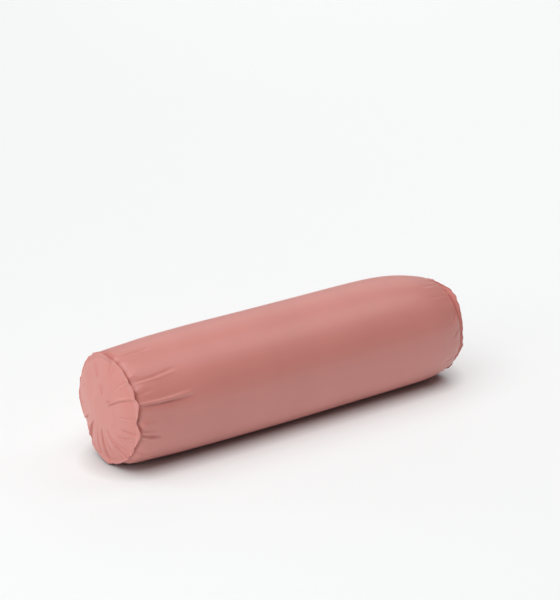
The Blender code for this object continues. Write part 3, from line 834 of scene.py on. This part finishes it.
SLIDER_X = 175.2
PLATE_TOP, PLATE_UNDER, PLATE_ROUNDING = 2.0, 1.1, 0.28
BACK_TOP, BACK_UNDER = -2.1, -3.0
WALL, WALL_LOW, WALL_ROUNDING = 0.62, -0.9, 0.12
BAIL_SPAN, BAIL_TOP, BAIL_FOOT, BAIL_HALF, BAIL_WIRE = 5.6, 4.5, 1.8, 0.95, 0.8
SHOULDERS = [(-3.4, 3.2), (-0.5, 3.7), (1.4, 4.15)]


def mirrored(half):
    """The whole outline from the corners of its half on one side of the zip's middle, from SLIDER_X."""
    upper = [(SLIDER_X + x, v) for x, v in half]
    return upper + [(x, -v) for x, v in reversed(upper[1:-1])]


def shield(scale=1.0):
    """The slider's outline: broad shoulders at its front, narrower where the closed coils leave it."""
    half = [(-4.5, 0), (-4.5, 2.3), (-4.2, 2.9), *SHOULDERS, (2.6, 4.2), (3.6, 3.7), (4.2, 2.8), (4.5, 1.4),
            (4.5, 0)]
    return mirrored([(x * scale, v * scale) for x, v in half])


def side_wall(way):
    """The wall down one side of the slider, between the coil and the open."""
    outer = [(-4.1, 2.75), *SHOULDERS, (2.4, 4.2)]
    inner = [(SLIDER_X + x, way * (v - WALL)) for x, v in reversed(outer)]
    return [(SLIDER_X + x, way * v) for x, v in outer] + inner


def bail_outline(steps=12):
    """The bail's arch over the slider, from one foot to the other, as a closed outline on its edge."""
    outer, inner = [], []
    for step in range(steps + 1):
        turn = math.pi * step / steps
        bend = (abs(math.cos(turn)) ** 0.6 * math.copysign(1, math.cos(turn)), math.sin(turn) ** 0.6)
        outer.append((SLIDER_X - BAIL_SPAN / 2 * bend[0], BAIL_FOOT + (BAIL_TOP - BAIL_FOOT) * bend[1]))
        inner.append((SLIDER_X - (BAIL_SPAN / 2 - BAIL_WIRE) * bend[0],
                      BAIL_FOOT + (BAIL_TOP - BAIL_WIRE - BAIL_FOOT) * bend[1]))
    return outer + inner[::-1]


post = rounded_box(SLIDER_X + 2.2, SLIDER_X + 4.3, -0.1, 0.1, 0.05)
slider = cast("zip_slider_cast", [
    ([shield()], PLATE_UNDER, PLATE_TOP, PLATE_ROUNDING, False),
    ([shield(0.98)], BACK_UNDER, BACK_TOP, PLATE_ROUNDING, False),
    ([side_wall(-1)], WALL_LOW, PLATE_UNDER + 0.2, WALL_ROUNDING, False),
    ([side_wall(1)], WALL_LOW, PLATE_UNDER + 0.2, WALL_ROUNDING, False),
    ([post], BACK_TOP - 0.1, PLATE_UNDER + 0.1, 0.02, False),
    ([bail_outline()], -BAIL_HALF, BAIL_HALF, 0.25, True),
], NICKEL)
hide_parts("zip_slider")
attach(slider, "slider")

# ---- Zip pull
# A flat die-cast tab. The bail passes through its window, so it swings over from one side of the slider
# to the other, and the hole at its end takes a cord.

PULL_AXIS, PULL_LENGTH, PULL_HALF_THICKNESS = 2.8, 26.0, 0.5
HOLE_X, HOLE_RADIUS, RIM_INNER, RIM_OUTER, RIM_HALF_THICKNESS = SLIDER_X + 22.6, 1.3, 1.45, 2.2, 0.62

# It narrows a little behind the window and swells to a round end.
PULL_HALF = [
    (-0.5, 0), (-0.5, 2.6), (-0.2, 3.1), (0.5, 3.35), (4.6, 3.4), (6.0, 3.1), (8.0, 2.55), (11.0, 2.4),
    (16.0, 2.75), (20.0, 3.2), (22.5, 3.35), (24.0, 3.0), (25.1, 2.2), (25.8, 1.1), (PULL_LENGTH, 0),
]


def ring_round_hole(radius, count=20):
    turns = [2 * math.pi * i / count for i in range(count)]
    return [(HOLE_X + radius * math.cos(turn), radius * math.sin(turn)) for turn in turns]


window = rounded_box(SLIDER_X + 0.5, SLIDER_X + 4.9, -1.9, 1.9, 0.5)
pull = cast("zip_pull_cast", [
    ([mirrored(PULL_HALF), window, ring_round_hole(HOLE_RADIUS)],
     PULL_AXIS - PULL_HALF_THICKNESS, PULL_AXIS + PULL_HALF_THICKNESS, 0.22, False),
    ([ring_round_hole(RIM_OUTER), ring_round_hole(RIM_INNER)],
     PULL_AXIS - RIM_HALF_THICKNESS, PULL_AXIS + RIM_HALF_THICKNESS, 0.12, False),
], NICKEL)
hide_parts("zip_pull")
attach(pull, "pull")

# ---- Topstitching
# A row of lockstitch on each side of the slot and across its ends holds the cover's turned edge to the
# tape, and two more rows hold each coil to its tape.


def stitch_tree(finish):
    tree, given, out = new_tree("stitches", [
        ("Pitch", "NodeSocketFloat"), ("Stitch Length", "NodeSocketFloat"),
        ("Thread Radius", "NodeSocketFloat"),
    ])
    line = add_node(tree, "GeometryNodeMeshToCurve", Mesh=given.outputs[0])
    places = add_node(tree, "GeometryNodeCurveToPoints", mode="LENGTH", Curve=line.outputs[0],
                      Length=given.outputs["Pitch"])
    ball = add_node(tree, "GeometryNodeMeshUVSphere", Segments=6, Rings=5, Radius=1.0)
    half = add_node(tree, "ShaderNodeMath", operation="MULTIPLY", _0=given.outputs["Stitch Length"], _1=0.5)
    size = add_node(tree, "ShaderNodeCombineXYZ", X=given.outputs["Thread Radius"],
                    Y=given.outputs["Thread Radius"], Z=half.outputs[0])
    stitch = add_node(tree, "GeometryNodeTransform", Geometry=ball.outputs[0], Scale=size.outputs[0])
    sewn = add_node(tree, "GeometryNodeInstanceOnPoints", Points=places.outputs[0],
                    Instance=stitch.outputs[0], Rotation=places.outputs["Rotation"])
    return finished_tree(tree, sewn, out, finish)


def line_mesh(name, lines):
    """A mesh of open lines, for stitches to be sewn along."""
    mesh = bpy.data.meshes.new(name)
    verts = [tuple(point) for line in lines for point in line]
    edges, start = [], 0
    for line in lines:
        edges += [(start + i, start + i + 1) for i in range(len(line) - 1)]
        start += len(line)
    mesh.from_pydata(verts, edges, [])
    return mesh


# The cloth is folded under where it meets the zip, so the slot's edge is a round fold of two layers.
FOLD_RADIUS, FOLD_STEP, ON_HEM = 0.55, 4.0, HEM_RISE + 0.12
slot_outline = rounded_box(-SLOT_X, SLOT_X, -SLOT_HALF, SLOT_HALF, 0.7)
fold_line = [zip_point(x, v, HEM_RISE - FOLD_RADIUS + 0.12) for x, v in slot_outline]
fold_path = []
for start, end in zip(fold_line, fold_line[1:] + fold_line[:1]):
    pieces = max(1, round((end - start).length / (FOLD_STEP * MM)))
    fold_path += [start.lerp(end, i / pieces) for i in range(pieces)]
fold_tube = tube_round(fold_path, FOLD_RADIUS * MM, 10, ZIP_TURN @ Vector((0, 0, 1)))
fold = mesh_object("zip_slot_fold", *fold_tube, SATEEN)
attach(fold, "bolster")

STITCHES = stitch_tree(THREAD)
STITCH_IN, CORNER_GAP = 2.2, 1.6
hem_v, hem_x = SLOT_HALF + STITCH_IN, SLOT_X + STITCH_IN + 1
along_slot = np.linspace(CORNER_GAP - hem_x, hem_x - CORNER_GAP, 120)
across_slot = np.linspace(CORNER_GAP - hem_v, hem_v - CORNER_GAP, 8)
hem_lines = [[zip_point(x, way * hem_v, ON_HEM) for x in along_slot] for way in (-1, 1)]
hem_lines += [[zip_point(way * hem_x, v, ON_HEM) for v in across_slot] for way in (-1, 1)]
topstitch = grown("zip_topstitching", STITCHES,
                  {"Pitch": 3.0 * MM, "Stitch Length": 2.5 * MM, "Thread Radius": 0.32 * MM},
                  line_mesh("zip_topstitch_lines", hem_lines))
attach(topstitch, "bolster")
COIL_STITCH_X, COIL_STITCH_V = 178, 4.1
along_coil = np.linspace(-COIL_STITCH_X, COIL_STITCH_X, 90)
coil_lines = [[zip_point(x, way * COIL_STITCH_V, TAPE_TOP + 0.1) for x in along_coil] for way in (-1, 1)]
coil_stitch = grown("zip_coil_stitching", STITCHES,
                    {"Pitch": 2.4 * MM, "Stitch Length": 1.9 * MM, "Thread Radius": 0.16 * MM},
                    line_mesh("zip_coil_stitch_lines", coil_lines))
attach(coil_stitch, "bolster")

# ---- Care label
# A blank care label of polyester satin inside the cover, just above the zip. Its one edge is caught in
# the zip's seam.


def satin_material():
    """Slit polyester satin: ivory, with a cold-cut edge and a soft shine across its weave."""
    made, tree, shader = new_material("ivory_label_satin")
    cloth = add_node(tree, "ShaderNodeUVMap", uv_map="cloth").outputs[0]
    # Threads 0.15 mm apart, too fine to show, drawn 3.1 mm apart.
    weave = add_node(tree, "ShaderNodeTexWave", Vector=cloth, Scale=100.0, bands_direction="X",
                     Distortion=0.5)
    tone = add_node(tree, "ShaderNodeValToRGB", Fac=weave.outputs["Fac"])
    tone.color_ramp.elements[0].color, tone.color_ramp.elements[1].color = srgb("E9E4DC"), srgb("F5F1EA")
    rise = add_node(tree, "ShaderNodeBump", Strength=0.2, Distance=0.0001, Height=weave.outputs["Fac"])
    set_up(shader, Base__Color=tone.outputs[0], Normal=rise.outputs[0], Roughness=0.35, Anisotropic=0.4)
    return made


LABEL_X, LABEL_FROM, LABEL_TO, LABEL_THICKNESS = 20.0, 14.0, 40.0, 0.3
LABEL_EASE, LABEL_BELLY, LABEL_CURVE = 1.1, 0.25, 1.2


def label_rise(x, across):
    """Follows the cover's inner face, and bellies a little off it."""
    on_arc = math.sqrt((BODY_RADIUS - CLOTH - LABEL_EASE) ** 2 - across**2) - ZIP_LEVEL
    share = (abs(across) - LABEL_FROM) / (LABEL_TO - LABEL_FROM)
    return on_arc - LABEL_BELLY * math.sin(math.pi * share) * (1 + x / (2 * LABEL_X))


label_columns, label_rows = np.linspace(-LABEL_X, LABEL_X, 21), -np.linspace(LABEL_FROM, LABEL_TO, 14)
label = flat_cloth("care_label_satin", label_columns, label_rows, label_rise, LABEL_THICKNESS,
                   satin_material())
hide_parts("care_label")
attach(label, "bolster")

# ---- Liner
# The insert's own case of unbleached plain-weave cotton, a tube with a round sewn in at each end. It is
# packed full, so it bears on the cover all round, and it stays in when the cover is washed.


def liner_material():
    """Unbleached cotton calico in plain weave: matt, cream, with darker flecks of seed in the yarn."""
    made, tree, shader = new_material("unbleached_cotton_calico")
    cloth = add_node(tree, "ShaderNodeUVMap", uv_map="cloth").outputs[0]
    # Threads 0.4 mm apart, too fine to show, drawn 5 mm apart.
    warp = add_node(tree, "ShaderNodeTexWave", Vector=cloth, Scale=62.5, bands_direction="X", Distortion=0.5)
    weft = add_node(tree, "ShaderNodeTexWave", Vector=cloth, Scale=62.5, bands_direction="Y", Distortion=0.5)
    weave = add_node(tree, "ShaderNodeMath", operation="MULTIPLY", _0=warp.outputs["Fac"],
                     _1=weft.outputs["Fac"])
    fleck = add_node(tree, "ShaderNodeTexNoise", Vector=cloth, Scale=700.0, Detail=2.0)
    tone = add_node(tree, "ShaderNodeValToRGB", Fac=fleck.outputs["Fac"])
    tone.color_ramp.elements[0].position, tone.color_ramp.elements[0].color = 0.28, srgb("C6B699")
    tone.color_ramp.elements[1].position, tone.color_ramp.elements[1].color = 0.4, srgb("EAE3D3")
    rise = add_node(tree, "ShaderNodeBump", Strength=0.35, Distance=0.0003, Height=weave.outputs[0])
    set_up(shader, Base__Color=tone.outputs[0], Normal=rise.outputs[0], Roughness=0.85)
    return made


CALICO = liner_material()
INSERT_STATIONS = np.concatenate([np.arange(0, 20, 2.5), np.arange(20, 332, 8.0)])
HALF_LENGTH = 331
LINER_INSET, LINER_START, LINER_THICKNESS, LINER_CROWN = 3.3, 3.5, 0.6, 9.0
# Room for the cover's creases near its ends, and how much nearer the floor and the zip a layer may come.
CREASE_ROOM, PRESSED_ROOM = 3.5, 1.6


def layer_grid(inset, start, rounding, rough=0.0, seed=99):
    """Rows of points that lie inset inside the cover's face, from start in from one neck to the same at the
    other, with rounded ends."""
    rows = []
    for side in (-1, 1):
        w = start + INSERT_STATIONS[INSERT_STATIONS + start < HALF_LENGTH]
        r = smooth_curve(FILLED[side], w) - inset - CREASE_ROOM * np.clip((130 - w) / 60, 0, 1)
        r = r - rounding * np.clip(1 - (w - start) / (2 * rounding), 0, 1) ** 2
        r = r[:, None] + rough * waves(ANGLES, seed + side, 20, 60, 8)[None] * np.cos(w / 19)[:, None]
        sag = (END_SAG[side] * np.exp(-((w / 70) ** 2)))[:, None]
        x = side * (NECK_X - w[:, None]) + 0 * r
        points = np.stack([x, r * np.cos(ANGLES), r * np.sin(ANGLES) - sag], -1)
        rows.append(points if side < 0 else points[::-1])
    return pressed(np.concatenate(rows) * MM, inset=inset - PRESSED_ROOM, hem=False)


def layer_end(side, ring, crown, thickness, name, finish, rough=0.0):
    """A domed round that closes one end of a layer, with its edge on the layer's end ring of points."""
    shares = np.array([1, 0.96, 0.88, 0.76, 0.62, 0.46, 0.3, 0.15, 0.04])
    centre = ring.mean(axis=0)
    points = []
    for share in shares[::-1]:
        row = centre + (ring - centre) * share
        row = row + np.array([1.0, 0, 0]) * side * crown * MM * (1 - share**2.2)
        row[:, 0] += side * rough * MM * waves(ANGLES, 7, 5, 19, 6) * share * (1 - share) * 4
        points.append(row)
    points = np.array(points)
    obj = grid_mesh(name, points, finish, flat=True)
    close_middle(obj, points, 8 * MM)
    return add_wall(obj, thickness * MM)


liner_points = layer_grid(LINER_INSET, LINER_START, 5.0, rough=0.15, seed=91)
liner = add_wall(grid_mesh("liner_body_calico", liner_points, CALICO), LINER_THICKNESS * MM)
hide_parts("liner_body")
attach(liner, "bolster")
for side, end in ((-1, "left"), (1, "right")):
    ring = liner_points[0 if side < 0 else -1]
    liner_end = layer_end(side, ring, LINER_CROWN, LINER_THICKNESS, f"liner_end_{end}_calico", CALICO,
                          rough=0.3)
    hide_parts(f"liner_end_{end}")
    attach(liner_end, "bolster")

# ---- Batting
# Bonded polyester wadding, pressed to 11 mm thick, wrapped once round the core with a pad of it at each
# end. It rounds off the foam and keeps the liner full.


def wadding_material():
    """Bonded polyester wadding: white, crimped fibre that scatters light between its strands."""
    made, tree, shader = new_material("bonded_polyester_wadding")
    place = add_node(tree, "ShaderNodeTexCoord").outputs["Object"]
    strands = add_node(tree, "ShaderNodeTexNoise", Vector=place, Scale=600.0, Detail=6.0, Distortion=2.0)
    tone = add_node(tree, "ShaderNodeValToRGB", Fac=strands.outputs["Fac"])
    tone.color_ramp.elements[0].color, tone.color_ramp.elements[1].color = srgb("DCDCDA"), srgb("F7F7F5")
    rise = add_node(tree, "ShaderNodeBump", Strength=0.8, Distance=0.001, Height=strands.outputs["Fac"])
    set_up(shader, Base__Color=tone.outputs[0], Normal=rise.outputs[0], Roughness=1.0, Sheen__Weight=0.4)
    return made


WADDING = wadding_material()
BATTING, BATTING_INSET, BATTING_START = 11.0, 4.6, 5.5
PAD_CROWN, PAD_GAP = 7.0, 0.8
batting_points = layer_grid(BATTING_INSET, BATTING_START, 6.0, rough=0.12, seed=95)
batting = add_wall(grid_mesh("batting_wrap_wadding", batting_points, WADDING), BATTING * MM)
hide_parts("batting_wrap")
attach(batting, "bolster")
# The end pads lie inside the wrap, on the core.
pad_points = layer_grid(BATTING_INSET + BATTING + PAD_GAP, BATTING_START - 1.5, 4.0)
for side, end in ((-1, "left"), (1, "right")):
    ring = pad_points[0 if side < 0 else -1]
    pad = layer_end(side, ring, PAD_CROWN, BATTING - 1, f"batting_end_{end}_wadding", WADDING, rough=0.5)
    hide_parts(f"batting_end_{end}")
    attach(pad, "bolster")

# ---- Foam core
# A solid round of open-cell polyurethane foam, turned to a cylinder. It gives the bolster its firmness
# and its straight back.


def foam_material():
    """Open-cell polyurethane foam: pale yellow, matt, pitted all over with cells."""
    made, tree, shader = new_material("open_cell_polyurethane_foam")
    place = add_node(tree, "ShaderNodeTexCoord").outputs["Object"]
    # Cells 0.6 mm across, drawn 1.5 mm across so that they show.
    cells = add_node(tree, "ShaderNodeTexVoronoi", Vector=place, Scale=1 / 0.0015)
    tone = add_node(tree, "ShaderNodeValToRGB", Fac=cells.outputs["Distance"])
    tone.color_ramp.elements[0].color, tone.color_ramp.elements[1].color = srgb("D8C07A"), srgb("F0E0AE")
    rise = add_node(tree, "ShaderNodeBump", Strength=0.7, Distance=0.0006, Height=cells.outputs["Distance"])
    set_up(shader, Base__Color=tone.outputs[0], Normal=rise.outputs[0], Roughness=0.95)
    return made


FOAM_INSET, FOAM_START = 16.6, 17.5
foam_points = layer_grid(FOAM_INSET, FOAM_START, 5.0)
foam = grid_mesh("foam_core_cut", foam_points, foam_material())
bm = bmesh.new()
bm.from_mesh(foam.data)
for side in (-1, 1):
    rim_edges = [e for e in bm.edges if e.is_boundary and e.verts[0].co.x * side > 0]
    bmesh.ops.contextual_create(bm, geom=rim_edges)
bmesh.ops.recalc_face_normals(bm, faces=bm.faces)
bm.to_mesh(foam.data)
bm.free()
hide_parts("foam_core")
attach(foam, "bolster")

# ---- Floor, light and camera
# A matt, nearly white table in a bright room with large soft lights, seen from in front and a little above
# the near end.

# The table's glow is painted light, and it is painted out below the bolster as a painted contact shadow:
# over this length from the middle, and fading out between these widths.
PAINTED_SHADE_X, PAINTED_SHADE_FROM, PAINTED_SHADE_TO = 0.29, 0.045, 0.095


def stage_material():
    """A pale table that glows with painted light, so that shadows on it stay pale, with painted shade where
    the glow stops under the bolster.
    """
    made, tree, shader = new_material("table_with_painted_glow_and_shade")
    place = add_node(tree, "ShaderNodeTexCoord").outputs["Object"]
    spot = add_node(tree, "ShaderNodeSeparateXYZ", Vector=place)
    from_middle = add_node(tree, "ShaderNodeMath", operation="ABSOLUTE", _0=spot.outputs["X"])
    past_end = add_node(tree, "ShaderNodeMath", operation="SUBTRACT", _0=from_middle.outputs[0], _1=PAINTED_SHADE_X)
    beyond = add_node(tree, "ShaderNodeMath", operation="MAXIMUM", _0=past_end.outputs[0], _1=0.0)
    off_strip = add_node(tree, "ShaderNodeCombineXYZ", X=beyond.outputs[0], Y=spot.outputs["Y"], Z=0.0)
    away = add_node(tree, "ShaderNodeVectorMath", operation="LENGTH", _0=off_strip.outputs[0])
    lit = add_node(tree, "ShaderNodeMapRange", Value=away.outputs["Value"], From__Min=PAINTED_SHADE_FROM,
                   From__Max=PAINTED_SHADE_TO)
    # Painted light: the table glows everywhere except in a painted contact shadow under the bolster.
    glow = add_node(tree, "ShaderNodeValToRGB", Fac=lit.outputs[0])
    set_up(shader, Emission__Color=glow.outputs[0], Base__Color=srgb("CFD0D0"), Roughness=1.0,
           Emission__Strength=0.3, Specular__IOR__Level=0.0)
    return made


bm = bmesh.new()
bmesh.ops.create_grid(bm, x_segments=1, y_segments=1, size=12)
floor = kept("floor", bm, stage_material())

world = bpy.data.worlds.new("studio")
world.use_nodes = True
set_up(world.node_tree.nodes["Background"], Color=(1, 1, 1, 1), Strength=0.1)
bpy.context.scene.world = world


def soft_light(name, kind, place, power, **sizes):
    """A lamp that points at the middle of the bolster."""
    data = bpy.data.lights.new(name, kind)
    data.energy = power
    for size, value in sizes.items():
        setattr(data, size, value)
    lamp = bpy.data.objects.new(name, data)
    lamp.location = place
    lamp.rotation_euler = (Vector((0, 0, 0.1)) - Vector(place)).to_track_quat("-Z", "Y").to_euler()
    bpy.context.scene.collection.objects.link(lamp)


soft_light("sky_panel", "SUN", (-0.8, 0.02, 3.0), 2.04, angle=math.radians(70))
soft_light("side_panel", "AREA", (-3.2, -0.5, 1.3), 21.0, size=2.0)
soft_light("front_left_panel", "AREA", (-1.3, -0.9, 1.4), 3.4, size=1.0)
soft_light("back_panel", "AREA", (2.3, 2.8, 2.3), 24.0, size=3.0)
soft_light("top_panel", "AREA", (1.7, -0.4, 2.6), 13.5, size=1.6)
soft_light("left_back_panel", "AREA", (-2.4, 2.6, 0.9), 15.0, size=1.5)
bpy.context.scene.view_settings.view_transform = "Standard"

camera_data = bpy.data.cameras.new("camera")
camera_data.sensor_width = 36
camera_data.lens = 139.17
camera_data.clip_start, camera_data.clip_end = 0.1, 60
camera = bpy.data.objects.new("camera", camera_data)
azimuth, elevation = math.radians(-36.1208), math.radians(20.7535)
camera.location = (-2.11303, -2.90077, 1.47139 + AXIS_Z)
camera.rotation_mode = "QUATERNION"
back = Vector((
    math.sin(azimuth) * math.cos(elevation), -math.cos(azimuth) * math.cos(elevation), math.sin(elevation)
))
camera.rotation_quaternion = (-back).to_track_quat("-Z", "Y")
bpy.context.scene.collection.objects.link(camera)
bpy.context.scene.camera = camera

bpy.context.view_layer.update()
